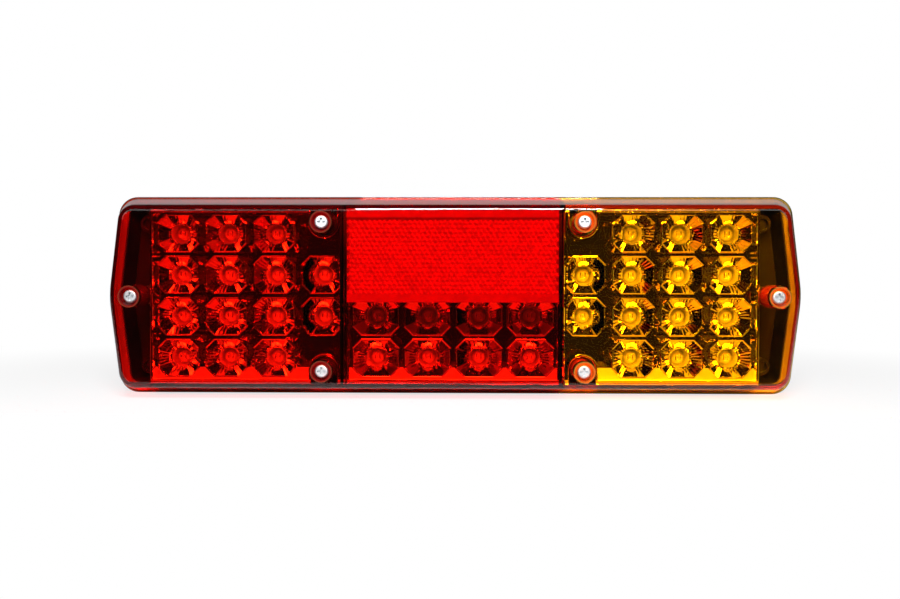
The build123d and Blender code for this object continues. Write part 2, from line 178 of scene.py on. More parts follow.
# Studio: strength in the dark and how much the back adds, and the directions between which they change
STUDIO_DARK = 0.02
BACK_RISE = 0.38
BACK_RANGE = (0.45, 0.85)
LOW_SHARE = 0.08
LOW_RANGE = (0.046, 0.054)

# Lamps: place and size in metres, and radiance
KEY_PLACE = (0.02, -0.83, 0.56)
KEY_SIZE = (0.34, 0.30)
KEY_RADIANCE = 47
CARD_PLACE = (0.40, -0.86, 0.30)
CARD_SIZE = (0.56, 0.36)
CARD_RADIANCE = 1.75


# Bench


def stand(point):
    """Frame place, in metres, of a bench point."""
    return STAND_UP @ Vector(point) * MM


def bench_box(node):
    """Lowest and highest bench corner of a node."""
    low, high = (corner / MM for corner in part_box(node))
    return Vector((low.x, low.z, -high.y)), Vector((high.x, high.z, -low.y))


def solid_places(node):
    """Bench centres of the separate solids of a node, seen from the front."""
    data = bmesh.new()
    data.from_mesh(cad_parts[node].data)
    bmesh.ops.remove_doubles(data, verts=data.verts, dist=NODE_WELD_DISTANCE * MM)
    left = set(data.verts)
    places = []
    while left:
        group, border = set(), [left.pop()]
        while border:
            vert = border.pop()
            group.add(vert)
            linked = {edge.other_vert(vert) for edge in vert.link_edges} & left
            left -= linked
            border += linked
        xs = [vert.co.x for vert in group]
        zs = [vert.co.z for vert in group]
        places.append(((min(xs) + max(xs)) / 2 / MM, (min(zs) + max(zs)) / 2 / MM))
    data.free()
    return sorted(places)


def ring(mesh, points, z):
    """Vertices round a closed outline at one level."""
    return [mesh.verts.new((x, y, z)) for x, y in points]


def bridge(mesh, first, second, material=0):
    """Strip of faces between two rings with as many vertices."""
    count = len(first)
    for index in range(count):
        following = (index + 1) % count
        face = mesh.faces.new((first[index], first[following], second[following], second[index]))
        face.material_index = material


def circle(radius, segments, centre=(0.0, 0.0)):
    """Points round a circle."""
    turns = [2 * math.pi * step / segments for step in range(segments)]
    return [(centre[0] + radius * math.cos(a), centre[1] + radius * math.sin(a)) for a in turns]


def lathe(mesh, profile, segments, centre, material=0):
    """Turned closed body from (radius, level) points that start and end on the axis."""
    top = mesh.verts.new((*centre, profile[0][1]))
    bottom = mesh.verts.new((*centre, profile[-1][1]))
    rings = [ring(mesh, circle(radius, segments, centre), level) for radius, level in profile[1:-1]]
    for index in range(segments):
        following = (index + 1) % segments
        cap = mesh.faces.new((top, rings[0][index], rings[0][following]))
        cap.material_index = material
        cap = mesh.faces.new((bottom, rings[-1][following], rings[-1][index]))
        cap.material_index = material
    for upper, lower in zip(rings, rings[1:]):
        bridge(mesh, upper, lower, material)


def bar(mesh, low, high, material=0):
    """Box between two bench corners."""
    size = [b - a for a, b in zip(low, high)]
    middle = [(a + b) / 2 for a, b in zip(low, high)]
    place = Matrix.Translation(middle) @ Matrix.Diagonal((*size, 1))
    made = bmesh.ops.create_cube(mesh, size=1, matrix=place)
    for face in {face for vert in made["verts"] for face in vert.link_faces}:
        face.material_index = material


def block(mesh, place, size, material):
    """Box that stands on a place, which is the centre of its lowest face."""
    x, y, z = place
    half_x, half_y = size[0] / 2, size[1] / 2
    bar(mesh, (x - half_x, y - half_y, z), (x + half_x, y + half_y, z + size[2]), material)


def link_piece(name, mesh, materials, replaced, sharp):
    """Stand a bench mesh up as a piece of the lamp that takes the place of CAD nodes."""
    bmesh.ops.transform(mesh, matrix=STAND_UP, verts=mesh.verts)
    bmesh.ops.scale(mesh, vec=(MM, MM, MM), verts=mesh.verts)
    for face in mesh.faces:
        face.smooth = True
    for edge in mesh.edges:
        edge.smooth = edge.is_manifold and edge.calc_face_angle() < math.radians(sharp)
    data = bpy.data.meshes.new(name)
    mesh.to_mesh(data)
    mesh.free()
    for material in materials:
        data.materials.append(material)
    piece = bpy.data.objects.new(name, data)
    bpy.context.scene.collection.objects.link(piece)
    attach(piece, "root")
    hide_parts(*replaced)
    return piece


# Parts of materials


def principled(name, colour, roughness, metallic=0.0):
    """New material with one main shader."""
    material = bpy.data.materials.new(name)
    material.use_nodes = True
    shader = material.node_tree.nodes["Principled BSDF"]
    shader.inputs["Base Color"].default_value = (*colour, 1)
    shader.inputs["Roughness"].default_value = roughness
    shader.inputs["Metallic"].default_value = metallic
    return material, shader


def coordinates(tree, kind):
    """Texture coordinates of one kind."""
    return tree.nodes.new("ShaderNodeTexCoord").outputs[kind]


def rays(tree, kind):
    """Value that is 1 for rays of one kind and 0 for others."""
    return tree.nodes.new("ShaderNodeLightPath").outputs[kind]


def add_range(tree, value, before, after, interpolation="LINEAR"):
    """Value carried over from one range to another and kept within it."""
    spread = tree.nodes.new("ShaderNodeMapRange")
    spread.interpolation_type = interpolation
    spread.inputs["From Min"].default_value = before[0]
    spread.inputs["From Max"].default_value = before[1]
    spread.inputs["To Min"].default_value = after[0]
    spread.inputs["To Max"].default_value = after[1]
    tree.links.new(value, spread.inputs["Value"])
    return spread.outputs["Result"]


def add_math(tree, operation, first, second, added=0.0):
    """Outcome of an operation on two values; a multiply-add also takes a plain number."""
    node = tree.nodes.new("ShaderNodeMath")
    node.operation = operation
    tree.links.new(first, node.inputs[0])
    tree.links.new(second, node.inputs[1])
    node.inputs[2].default_value = added
    return node.outputs["Value"]


def add_vector_math(tree, operation, vector, operand=(0, 0, 0)):
    """Outcome of an operation on a vector and, where it needs one, a constant vector."""
    node = tree.nodes.new("ShaderNodeVectorMath")
    node.operation = operation
    tree.links.new(vector, node.inputs[0])
    node.inputs[1].default_value = operand
    return node.outputs["Value" if operation == "LENGTH" else "Vector"]


def mix_surface(tree, share, first, second):
    """Surface that shows a share of the second shader and the rest of the first one."""
    mix = tree.nodes.new("ShaderNodeMixShader")
    tree.links.new(share, mix.inputs["Fac"])
    tree.links.new(first, mix.inputs[1])
    tree.links.new(second, mix.inputs[2])
    tree.links.new(mix.outputs["Shader"], tree.nodes["Material Output"].inputs["Surface"])


def add_noise(tree, scale, detail):
    """Noise texture in object space."""
    noise = tree.nodes.new("ShaderNodeTexNoise")
    noise.inputs["Scale"].default_value = scale
    noise.inputs["Detail"].default_value = detail
    tree.links.new(coordinates(tree, "Object"), noise.inputs["Vector"])
    return noise.outputs["Fac"]


def add_bump(material, shader, scale, strength, distance, detail=NOISE_DETAIL):
    """Small relief from noise."""
    tree = material.node_tree
    bump = tree.nodes.new("ShaderNodeBump")
    bump.inputs["Strength"].default_value = strength
    bump.inputs["Distance"].default_value = distance
    tree.links.new(add_noise(tree, scale, detail), bump.inputs["Height"])
    tree.links.new(bump.outputs["Normal"], shader.inputs["Normal"])


def add_colours(material, shader, scale, first, second):
    """Base colour that drifts between two tones."""
    tree = material.node_tree
    ramp = tree.nodes.new("ShaderNodeValToRGB")
    for element, position, tone in zip(ramp.color_ramp.elements, COLOUR_DRIFT, (first, second)):
        element.position = position
        element.color = (*tone, 1)
    tree.links.new(add_noise(tree, scale, NOISE_DETAIL), ramp.inputs["Fac"])
    tree.links.new(ramp.outputs["Color"], shader.inputs["Base Color"])


def add_roughness(material, shader, scale, low, high):
    """Roughness that drifts between two values."""
    tree = material.node_tree
    roughness = add_range(tree, add_noise(tree, scale, NOISE_DETAIL), GLOSS_DRIFT, (low, high))
    tree.links.new(roughness, shader.inputs["Roughness"])


# Materials


def clear_plastic(name, tint, ior, ripple, deep=None):
    """Clear tinted plastic that is a tinted filter to the light that passes it.

    Its colour deepens with its thickness where deep, the share that a wall lets through, is given.
    """
    material, shader = principled(name, tint, roughness=0.0)
    shader.inputs["Transmission Weight"].default_value = 1.0
    shader.inputs["IOR"].default_value = ior
    add_roughness(material, shader, scale=90, low=0.0, high=0.015)
    add_bump(material, shader, scale=45, strength=ripple, distance=0.0004, detail=1.0)
    tree = material.node_tree
    passing = tree.nodes.new("ShaderNodeBsdfTransparent")
    passing.inputs["Color"].default_value = (*(math.sqrt(value) for value in tint), 1)
    mix_surface(tree, rays(tree, "Is Shadow Ray"), shader.outputs["BSDF"], passing.outputs["BSDF"])
    if deep:
        losses = [-math.log(value) / (LENS_FACE * MM) for value in deep]
        absorption = tree.nodes.new("ShaderNodeVolumeAbsorption")
        absorption.inputs["Color"].default_value = (*(1 - loss / max(losses) for loss in losses), 1)
        absorption.inputs["Density"].default_value = max(losses)
        tree.links.new(absorption.outputs["Volume"], tree.nodes["Material Output"].inputs["Volume"])
    return material


def frost_wells(material, places, tone):
    """Matt, deeper coloured plastic round the screw wells of a lens."""
    tree = material.node_tree
    shader = tree.nodes["Principled BSDF"]
    spot = coordinates(tree, "Object")
    nearest = None
    for x, y in places:
        offset = add_vector_math(tree, "SUBTRACT", spot, stand((x, y, 0)))
        across = add_vector_math(tree, "MULTIPLY", offset, (1, 0, 1))
        distance = add_vector_math(tree, "LENGTH", across)
        nearest = distance if nearest is None else add_math(tree, "MINIMUM", nearest, distance)
    edge = ((FROST_RADIUS - FROST_EDGE) * MM, FROST_RADIUS * MM)
    clearness = add_range(tree, nearest, edge, (FROST_CLEARNESS, 1.0))
    colours = tree.nodes.new("ShaderNodeValToRGB")
    colours.color_ramp.elements[0].position = FROST_CLEARNESS
    colours.color_ramp.elements[0].color = (*tone, 1)
    colours.color_ramp.elements[1].color = shader.inputs["Base Color"].default_value
    tree.links.new(clearness, shader.inputs["Transmission Weight"])
    tree.links.new(clearness, colours.inputs["Fac"])
    tree.links.new(colours.outputs["Color"], shader.inputs["Base Color"])


def metallised_plastic(name, low, high):
    """Vacuum metallised mirror with a slight haze."""
    material, shader = principled(name, MIRROR_COLOUR, low, metallic=1.0)
    add_roughness(material, shader, scale=140, low=low, high=high)
    add_bump(material, shader, scale=220, strength=0.004, distance=0.0002, detail=2.0)
    return material


def moulded_plastic(name, first, second, roughness, grain):
    """Opaque moulded plastic with a fine grain."""
    material, shader = principled(name, first, roughness)
    add_colours(material, shader, scale=60, first=first, second=second)
    add_bump(material, shader, scale=grain, strength=0.35, distance=0.0002, detail=6.0)
    return material


def prism_plastic(name, first, second):
    """Red plastic of the reflex plate."""
    material, shader = principled(name, first, roughness=0.25)
    add_colours(material, shader, scale=300, first=first, second=second)
    add_bump(material, shader, scale=1200, strength=0.05, distance=0.0001)
    return material


def glowing_plastic(name, first, second):
    """White plastic that spreads the light within itself."""
    material = moulded_plastic(name, first, second, roughness=0.5, grain=2500)
    shader = material.node_tree.nodes["Principled BSDF"]
    shader.inputs["Subsurface Weight"].default_value = 1.0
    shader.inputs["Subsurface Radius"].default_value = (1, 1, 1)
    shader.inputs["Subsurface Scale"].default_value = CORE_GLOW * MM
    return material


def metal(name, first, second, low, high):
    """Plated metal with uneven gloss."""
    material, shader = principled(name, first, low, metallic=1.0)
    add_colours(material, shader, scale=500, first=first, second=second)
    add_roughness(material, shader, scale=900, low=low, high=high)
    add_bump(material, shader, scale=1500, strength=0.12, distance=0.0001)
    return material


# Clear plastics: tint, and the share of each colour that passes the lens face
lens_red = clear_plastic("lens_red", (0.94, 0.20, 0.08), LENS_IOR, LENS_RIPPLE, (0.90, 0.30, 0.22))
lens_amber = clear_plastic("lens_amber", (1.0, 0.75, 0.10), LENS_IOR, LENS_RIPPLE, (0.99, 0.80, 0.20))
resin = clear_plastic("resin", (0.98, 0.97, 0.94), RESIN_IOR, RESIN_RIPPLE)

lens_screw_places = solid_places("lens_screws")
joint_x = bench_box("lens_amber")[0].x
frost_wells(lens_red, [place for place in lens_screw_places if place[0] < joint_x], FROST_RED)
frost_wells(lens_amber, [place for place in lens_screw_places if place[0] > joint_x], FROST_AMBER)

# Mirrors: least and greatest roughness
mirror = metallised_plastic("metallised", 0.02, 0.05)
satin_mirror = metallised_plastic("metallised_satin", 0.32, 0.36)

# Opaque plastics: two tones, roughness and scale of the grain
black_plastic = moulded_plastic("housing", (0.008, 0.008, 0.009), (0.014, 0.014, 0.015), 0.35, 1800)
rubber = moulded_plastic("seal", (0.020, 0.020, 0.020), (0.035, 0.034, 0.033), 0.75, 2500)
gasket_foam = moulded_plastic("gasket", (0.26, 0.26, 0.25), (0.32, 0.32, 0.31), 0.8, 2200)
backing_plastic = moulded_plastic("backing", (0.55, 0.02, 0.02), (0.62, 0.03, 0.03), 0.45, 1500)
board_mask = moulded_plastic("board", (0.03, 0.15, 0.06), (0.05, 0.22, 0.09), 0.35, 1200)
terminal_plastic = moulded_plastic("terminal", (0.70, 0.69, 0.64), (0.78, 0.77, 0.72), 0.5, 1500)
resistor_coat = moulded_plastic("resistor", (0.32, 0.42, 0.38), (0.42, 0.52, 0.47), 0.4, 1500)
wire_skin = moulded_plastic("wire", (0.25, 0.02, 0.02), (0.34, 0.04, 0.03), 0.45, 1800)
chip = moulded_plastic("chip", (0.80, 0.62, 0.20), (0.72, 0.52, 0.16), 0.4, 3000)

# Plastics of the diode cores and of the reflex plate: two tones. The reflex border and ground are darker
# copies of the reflex red, with painted shade
core_white = glowing_plastic("core", (0.88, 0.88, 0.86), (0.92, 0.92, 0.90))
reflex_red = prism_plastic("reflex", (0.36, 0.010, 0.008), (0.45, 0.015, 0.011))
# Darker reflex red for the plain strips: painted shade, since they catch less light than the prisms
reflex_border_painted_shade = prism_plastic("reflex_border_painted_shade", (0.31, 0.006, 0.005), (0.36, 0.008, 0.006))
# Darkest reflex red for the ground round the prisms: painted shade in the groove
reflex_ground_painted_shade = prism_plastic("reflex_ground_painted_shade", (0.15, 0.003, 0.003), (0.19, 0.004, 0.004))

# Metals: two tones, least and greatest roughness
zinc = metal("plated_steel", (0.78, 0.79, 0.81), (0.66, 0.68, 0.71), 0.16, 0.34)
bright_zinc = metal("screw_heads", (0.70, 0.72, 0.73), (0.62, 0.64, 0.66), 0.45, 0.6)
brass = metal("contact", (0.80, 0.62, 0.28), (0.70, 0.52, 0.22), 0.2, 0.4)
silver = metal("lead_frame", (0.90, 0.89, 0.87), (0.80, 0.79, 0.77), 0.15, 0.3)


# Reflector trays


def diode_places(section):
    """Bench centres of a section's diodes."""
    places = []
    for name in sorted(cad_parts):
        if name.startswith(f"diode_{section}_"):
            low, high = bench_box(name)
            places.append(((low.x + high.x) / 2, (low.y + high.y) / 2))
    return places


def grown_corner(grow):
    """Corner cut of a cup's octagon when its sides move out by grow."""
    return CUP_CORNER + grow * (2 - math.sqrt(2))


def cup_outline(width, height, grow):
    """Points round an octagonal cup, at the edges and the middle of each flute."""
    corner = grown_corner(grow)
    x, y = width / 2 + grow, height / 2 + grow
    corners = [(x, corner - y), (x, y - corner), (x - corner, y), (corner - x, y)]
    corners = [Vector(point) for point in corners]
    corners += [-point for point in corners]
    points = []
    for side in range(8):
        start, end = corners[side], corners[(side + 1) % 8]
        steps = 2 * (DIAGONAL_FLUTES if side % 2 else STRAIGHT_FLUTES)
        points += [start.lerp(end, step / steps) for step in range(steps)]
    return points


def clip_arc(arc, low_x, high_x):
    """Points of an arc with those past the ends of a box moved to where it crosses them."""
    kept = [point for point in arc if low_x <= point[0] <= high_x]
    crossings = []
    for start, end in zip(arc, arc[1:]):
        for limit in (low_x, high_x):
            if (start[0] - limit) * (end[0] - limit) < 0:
                share = (limit - start[0]) / (end[0] - start[0])
                crossings.append((limit, start[1] + share * (end[1] - start[1])))
    if not crossings:
        return kept
    first_inside = low_x <= arc[0][0] <= high_x
    return kept + crossings[:1] if first_inside else crossings[:1] + kept


class Tray:
    """Outlines and levels of one reflector tray, read from its CAD node."""

    def __init__(self, section, web_x):
        self.low, self.high = bench_box(f"tray_{section}")
        self.places = diode_places(section)
        self.room_low = (self.low.x + TRAY_WALL, self.low.y + TRAY_WALL)
        self.room_high = (self.high.x - TRAY_WALL, self.high.y - TRAY_WALL)
        self.top_z = self.high.z
        self.mouth_z = self.top_z - TRAY_WALL_HEIGHT
        self.floor_z = self.mouth_z - CUP_DEPTH
        columns = sorted({round(x, 3) for x, y in self.places})
        rows = sorted({round(y, 3) for x, y in self.places})
        self.width = columns[1] - columns[0] - web_x
        self.height = rows[1] - rows[0] - CUP_WEB_Y
        self.notches = [place for place in lens_screw_places if self.in_box(*place)]

    def in_box(self, x, y):
        """True over the box round the tray."""
        return self.low.x < x < self.high.x and self.low.y < y < self.high.y

    def beyond_notch(self, x, y, radius):
        """True where a point is clear of every round-ended notch for a lens screw."""
        for notch_x, notch_y in self.notches:
            away = math.copysign(1, notch_y)
            if abs(x - notch_x) < radius and (y - notch_y) * away > 0:
                return False
            if math.hypot(x - notch_x, y - notch_y) < radius:
                return False
        return True

    def outline(self, low, high, radius):
        """Corner points of the box between low and high, less its notches, anticlockwise."""
        lower = [(low[0], low[1]), *self.notch_points(low, high, radius, -1), (high[0], low[1])]
        upper = [(high[0], high[1]), *self.notch_points(low, high, radius, 1), (low[0], high[1])]
        return [point for point in lower + upper if self.on_outline(point, low, high, radius)]

    def notch_points(self, low, high, radius, side):
        """Points round the notches on the lower (-1) or upper (1) edge, in drawing order."""
        edge = high[1] if side > 0 else low[1]
        points = []
        for x, y in sorted(self.notches, reverse=side > 0):
            if y * side < 0:
                continue
            arc = [(x + side * radius, edge)]
            for step in range(NOTCH_STEPS + 1):
                turn = math.pi * step / NOTCH_STEPS
                arc.append((x + side * radius * math.cos(turn), y - side * radius * math.sin(turn)))
            arc.append((x - side * radius, edge))
            points += clip_arc(arc, low[0], high[0])
        return points

    def on_outline(self, point, low, high, radius):
        """False for a corner of the box that lies in a notch."""
        x, y = point
        at_corner = x in (low[0], high[0]) and y in (low[1], high[1])
        return not at_corner or self.beyond_notch(x, y, radius)

    def in_cup(self, x, y):
        """True inside the mouth of a cup, with its bead."""
        half_x, half_y = self.width / 2 + BEAD_WIDTH, self.height / 2 + BEAD_WIDTH
        corner = grown_corner(BEAD_WIDTH)
        for place_x, place_y in self.places:
            dx, dy = abs(x - place_x), abs(y - place_y)
            if dx < half_x and dy < half_y and dx + dy < half_x + half_y - corner:
                return True
        return False

    def in_room(self, x, y):
        """True over the plate between the walls."""
        within = self.room_low[0] < x < self.room_high[0] and self.room_low[1] < y < self.room_high[1]
        return within and self.beyond_notch(x, y, NOTCH_RADIUS + TRAY_WALL)

    def on_plate(self, x, y):
        """True over the plate beside its cups."""
        return self.in_room(x, y) and not self.in_cup(x, y)

    def on_wall(self, x, y):
        """True over the walls and the collars."""
        return self.in_box(x, y) and self.beyond_notch(x, y, NOTCH_RADIUS) and not self.in_room(x, y)

    def clamp(self, points, place):
        """Cup points moved to their place and stopped at the walls."""
        low, high = self.room_low[0], self.room_high[0]
        return [(min(max(place[0] + x, low), high), place[1] + y) for x, y in points]


def flat_faces(mesh, loops, z, inside, satin_below=-math.inf):
    """Flat face through all the loops, where inside(x, y) holds, satin below a height."""
    points, edges = [], []
    for loop in loops:
        first = len(points)
        points += [Vector(point) for point in loop]
        edges += [(first + i, first + (i + 1) % len(loop)) for i in range(len(loop))]
    places, _, triangles, *_ = delaunay_2d_cdt(points, edges, [], 0, OUTLINE_TOLERANCE)
    verts = [mesh.verts.new((x, y, z)) for x, y in places]
    for triangle in triangles:
        x = sum(places[i].x for i in triangle) / 3
        y = sum(places[i].y for i in triangle) / 3
        if inside(x, y):
            face = mesh.faces.new([verts[i] for i in triangle])
            face.material_index = int(y < satin_below)


def cup_widening(level):
    """Share of a cup's widening at a share of its depth: a steep pipe, then a plain cone."""
    pipe = CUP_PIPE_FLARE * level / CUP_PIPE
    cone = CUP_PIPE_FLARE + (1 - CUP_PIPE_FLARE) * (level - CUP_PIPE) / (1 - CUP_PIPE)
    return max(pipe, cone)


def fluted(points):
    """Points of a cup with every second one drawn in, which leaves flutes between them."""
    return [point - point.normalized() * FLUTE_DEPTH * (index % 2) for index, point in enumerate(points)]


def add_cup(mesh, tray, place):
    """Fluted cup from the bead round its mouth down to the hole round the diode."""
    rings = []
    for step in range(BEAD_STEPS):
        turn = math.pi * step / BEAD_STEPS
        points = cup_outline(tray.width, tray.height, BEAD_WIDTH * (1 + math.cos(turn)) / 2)
        rings.append(ring(mesh, tray.clamp(points, place), tray.mouth_z + BEAD_HEIGHT * math.sin(turn)))
    mouth = cup_outline(tray.width, tray.height, 0)
    hole = [point.normalized() * CUP_HOLE_RADIUS for point in mouth]
    for step in range(CUP_STEPS + 1):
        level = 1 - step / CUP_STEPS
        points = fluted([inner.lerp(outer, cup_widening(level)) for inner, outer in zip(hole, mouth)])
        rings.append(ring(mesh, tray.clamp(points, place), tray.floor_z + CUP_DEPTH * level))
    rings.append(ring(mesh, tray.clamp(hole, place), tray.floor_z - CUP_HOLE_LIP))
    for upper, lower in zip(rings, rings[1:]):
        bridge(mesh, upper, lower)


def ramp_rise(y):
    """Height by which the plate has risen towards its lower wall."""
    return RAMP_SLOPE * max(0.0, -y - RAMP_START)


def face_front(mesh):
    """Join the vertices that meet and turn all the faces the way that the largest flat one looks."""
    bmesh.ops.remove_doubles(mesh, verts=mesh.verts, dist=WELD_DISTANCE)
    bmesh.ops.dissolve_degenerate(mesh, edges=mesh.edges, dist=SLIVER_LENGTH)
    loose = [vert for vert in mesh.verts if not vert.link_faces]
    bmesh.ops.delete(mesh, geom=loose, context="VERTS")
    bmesh.ops.recalc_face_normals(mesh, faces=mesh.faces)
    flattest = max(mesh.faces, key=lambda face: abs(face.normal.z) * face.calc_area())
    if flattest.normal.z < 0:
        bmesh.ops.reverse_faces(mesh, faces=mesh.faces)


def tray_plate(tray, inner):
    """Plate with its cups, sloped forward along its lower wall."""
    mesh = bmesh.new()
    loops = [inner]
    for place in tray.places:
        rim = cup_outline(tray.width, tray.height, BEAD_WIDTH)
        loops.append(tray.clamp(rim, place))
        add_cup(mesh, tray, place)
    loops.append([(tray.room_low[0], -RAMP_START), (tray.room_high[0], -RAMP_START)])
    flat_faces(mesh, loops, tray.mouth_z, tray.on_plate, satin_below=-RAMP_START)
    for vert in mesh.verts:
        share = (vert.co.z - tray.floor_z) / CUP_DEPTH
        vert.co.z += ramp_rise(vert.co.y) * max(0.0, share)
    face_front(mesh)
    return mesh


def tray_walls(tray, inner):
    """Walls and collars round the plate, with rounded top edges."""
    mesh = bmesh.new()
    outer = tray.outline(tray.low.xy, tray.high.xy, NOTCH_RADIUS)
    flat_faces(mesh, [inner, outer], tray.top_z, tray.on_wall)
    bridge(mesh, ring(mesh, inner, tray.mouth_z), ring(mesh, inner, tray.top_z))
    bridge(mesh, ring(mesh, outer, tray.top_z), ring(mesh, outer, tray.mouth_z - TRAY_PLATE))
    face_front(mesh)
    edges = []
    for edge in mesh.edges:
        at_top = all(vert.co.z > tray.top_z - EDGE_LEVEL for vert in edge.verts)
        if at_top and len(edge.link_faces) == 2 and edge.calc_face_angle() > EDGE_ANGLE:
            edges.append(edge)
    bmesh.ops.bevel(mesh, geom=edges, offset=EDGE_ROUND, segments=EDGE_STEPS, profile=EDGE_PROFILE,
                    affect="EDGES")
    return mesh


def make_tray(section, web_x):
    """Thin metallised tray: plate with fluted cups, walls and collars."""
    tray = Tray(section, web_x)
    inner = tray.outline(tray.room_low, tray.room_high, NOTCH_RADIUS + TRAY_WALL)
    mesh, walls = tray_plate(tray, inner), tray_walls(tray, inner)
    data = bpy.data.meshes.new("walls")
    walls.to_mesh(data)
    walls.free()
    mesh.from_mesh(data)
    bpy.data.meshes.remove(data)
    mirrors = [mirror, satin_mirror]
    piece = link_piece(f"reflector_{section}", mesh, mirrors, [f"tray_{section}"], TRAY_SHARP)
    thickness = piece.modifiers.new("skin", "SOLIDIFY")
    thickness.thickness = TRAY_SKIN * MM
    thickness.offset = -1


make_tray("left", SIDE_WEB_X)
make_tray("right", SIDE_WEB_X)
make_tray("centre", CENTRE_WEB_X)


# Diodes


def diode_profile(base):
    """Profile of the resin body, from the top of its dome down to its base."""
    shoulder = base + DIODE_FLANGE_HEIGHT + DIODE_BODY_HEIGHT
    profile = [(0, shoulder + DIODE_RADIUS)]
    for step in range(1, DOME_STEPS + 1):
        turn = math.pi / 2 * step / DOME_STEPS
        profile.append((DIODE_RADIUS * math.sin(turn), shoulder + DIODE_RADIUS * math.cos(turn)))
    profile.append((DIODE_RADIUS, base + DIODE_FLANGE_HEIGHT))
    profile.append((DIODE_FLANGE_RADIUS, base + DIODE_FLANGE_HEIGHT))
    profile.append((DIODE_FLANGE_RADIUS, base))
    profile.append((0, base))
    return profile


def make_diode(node):
    """Clear diode with a white core, two bars and a chip on it, and leads."""
    materials = [resin, silver, chip, core_white]
    in_resin, in_silver, in_chip, in_core = range(len(materials))
    low, high = bench_box(node)
    x, y = (low.x + high.x) / 2, (low.y + high.y) / 2
    base = low.z + LEAD_LENGTH
    core = [(radius, base + level) for radius, level in CORE_PROFILE]
    core_top = core[0][1]
    mesh = bmesh.new()
    lathe(mesh, diode_profile(base), DIODE_SEGMENTS, (x, y), in_resin)
    lathe(mesh, core, DIODE_SEGMENTS, (x, y), in_core)
    for side in (-1, 1):
        block(mesh, (x + side * BAR_GAP / 2, y, core_top), BAR_SIZE, in_silver)
        lead_place = (x + side * LEAD_SPACING / 2, y, base - LEAD_LENGTH)
        block(mesh, lead_place, (LEAD_WIDTH, LEAD_WIDTH, LEAD_LENGTH), in_silver)
    block(mesh, (x, y, core_top), CHIP_SIZE, in_chip)
    bmesh.ops.recalc_face_normals(mesh, faces=mesh.faces)
    link_piece(node.replace("diode", "emitter"), mesh, materials, [node], DIODE_SHARP)


for node in sorted(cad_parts):
    if node.startswith("diode_"):
        make_diode(node)


# Reflex reflector


def add_prism(mesh, x, y, radius, base_z, top_z):
    """Closed hexagonal cube-corner prism on the plate."""
    middle_z = (base_z + top_z) / 2
    upper, lower = [], []
    for step in range(6):
        turn = math.pi / 6 + math.pi / 3 * step
        place = (x + radius * math.cos(turn), y + radius * math.sin(turn))
        upper.append(mesh.verts.new((*place, middle_z if step % 2 else base_z + PRISM_SKIRT)))
        lower.append(mesh.verts.new((*place, base_z - PRISM_SKIRT)))
    peak = mesh.verts.new((x, y, top_z))
    for step in range(1, 6, 2):
        mesh.faces.new((peak, upper[step - 2], upper[step - 1], upper[step]))
    bridge(mesh, lower, upper)
    mesh.faces.new(reversed(lower))


def make_reflex():
    """Plate with a field of cube-corner prisms behind the lens face, between two plain strips."""
    plastics = [reflex_red, reflex_border_painted_shade, reflex_ground_painted_shade]
    in_shaded_border, in_shaded_ground = 1, 2
    low, high = bench_box("reflex_reflector")
    top_z = high.z - PRISM_AIR_GAP
    base_z = top_z - PRISM_HEIGHT
    mesh = bmesh.new()
    # The ground under and round the prisms takes the darkest red: painted shade in the groove
    bar(mesh, low, (high.x, high.y, base_z), in_shaded_ground)
    radius = PRISM_PITCH / math.sqrt(3)
    row_step = 1.5 * radius
    field_low, field_high = low.y + PRISM_BOTTOM_STRIP, high.y - PRISM_TOP_STRIP
    rows = int((field_high - field_low - 2 * radius) / row_step) + 1
    columns = int((high.x - low.x) / PRISM_PITCH)
    for row in range(rows):
        y = field_high - radius - row * row_step
        count = columns - row % 2
        for column in range(count):
            x = (low.x + high.x) / 2 + (column - (count - 1) / 2) * PRISM_PITCH
            add_prism(mesh, x, y, radius, base_z, top_z)
    border_z = base_z + PRISM_BORDER_RISE
    last_y = field_high - radius - (rows - 1) * row_step
    # The plain strips take the darker border red: painted shade
    bar(mesh, (low.x, field_high + PRISM_BORDER_GAP, base_z), (high.x, high.y, border_z), in_shaded_border)
    bar(mesh, (low.x, low.y, base_z), (high.x, last_y - radius / 2, border_z), in_shaded_border)
    link_piece("reflex_prisms", mesh, plastics, ["reflex_reflector"], REFLEX_SHARP)


make_reflex()


# Mounting studs


def thread_radius(rise, share):
    """Radius of a thread at a height over the tip and a share of a turn round it."""
    phase = (rise / THREAD_PITCH - share) % 1
    radius = STUD_RADIUS - THREAD_DEPTH * (1 - abs(2 * phase - 1))
    return min(radius, STUD_RADIUS - max(0, STUD_CHAMFER - rise))


def make_studs():
    """Studs with a real thread and a chamfered tip."""
    low, high = bench_box("mounting_studs")
    tip, root = low.z, high.z
    mesh = bmesh.new()
    steps = int((root - tip) / THREAD_PITCH * THREAD_STEPS)
    for place in solid_places("mounting_studs"):
        rings = []
        for step in range(steps + 1):
            z = tip + (root - tip) * step / steps
            points = []
            for index in range(STUD_SEGMENTS):
                turn = 2 * math.pi * index / STUD_SEGMENTS
                radius = thread_radius(z - tip, index / STUD_SEGMENTS)
                points.append((place[0] + radius * math.cos(turn), place[1] + radius * math.sin(turn)))
            rings.append(ring(mesh, points, z))
        for upper, lower in zip(rings, rings[1:]):
            bridge(mesh, upper, lower)
        mesh.faces.new(rings[0])
        mesh.faces.new(rings[-1])
    bmesh.ops.recalc_face_normals(mesh, faces=mesh.faces)
    link_piece("threaded_studs", mesh, [zinc], ["mounting_studs"], STUD_SHARP)


make_studs()

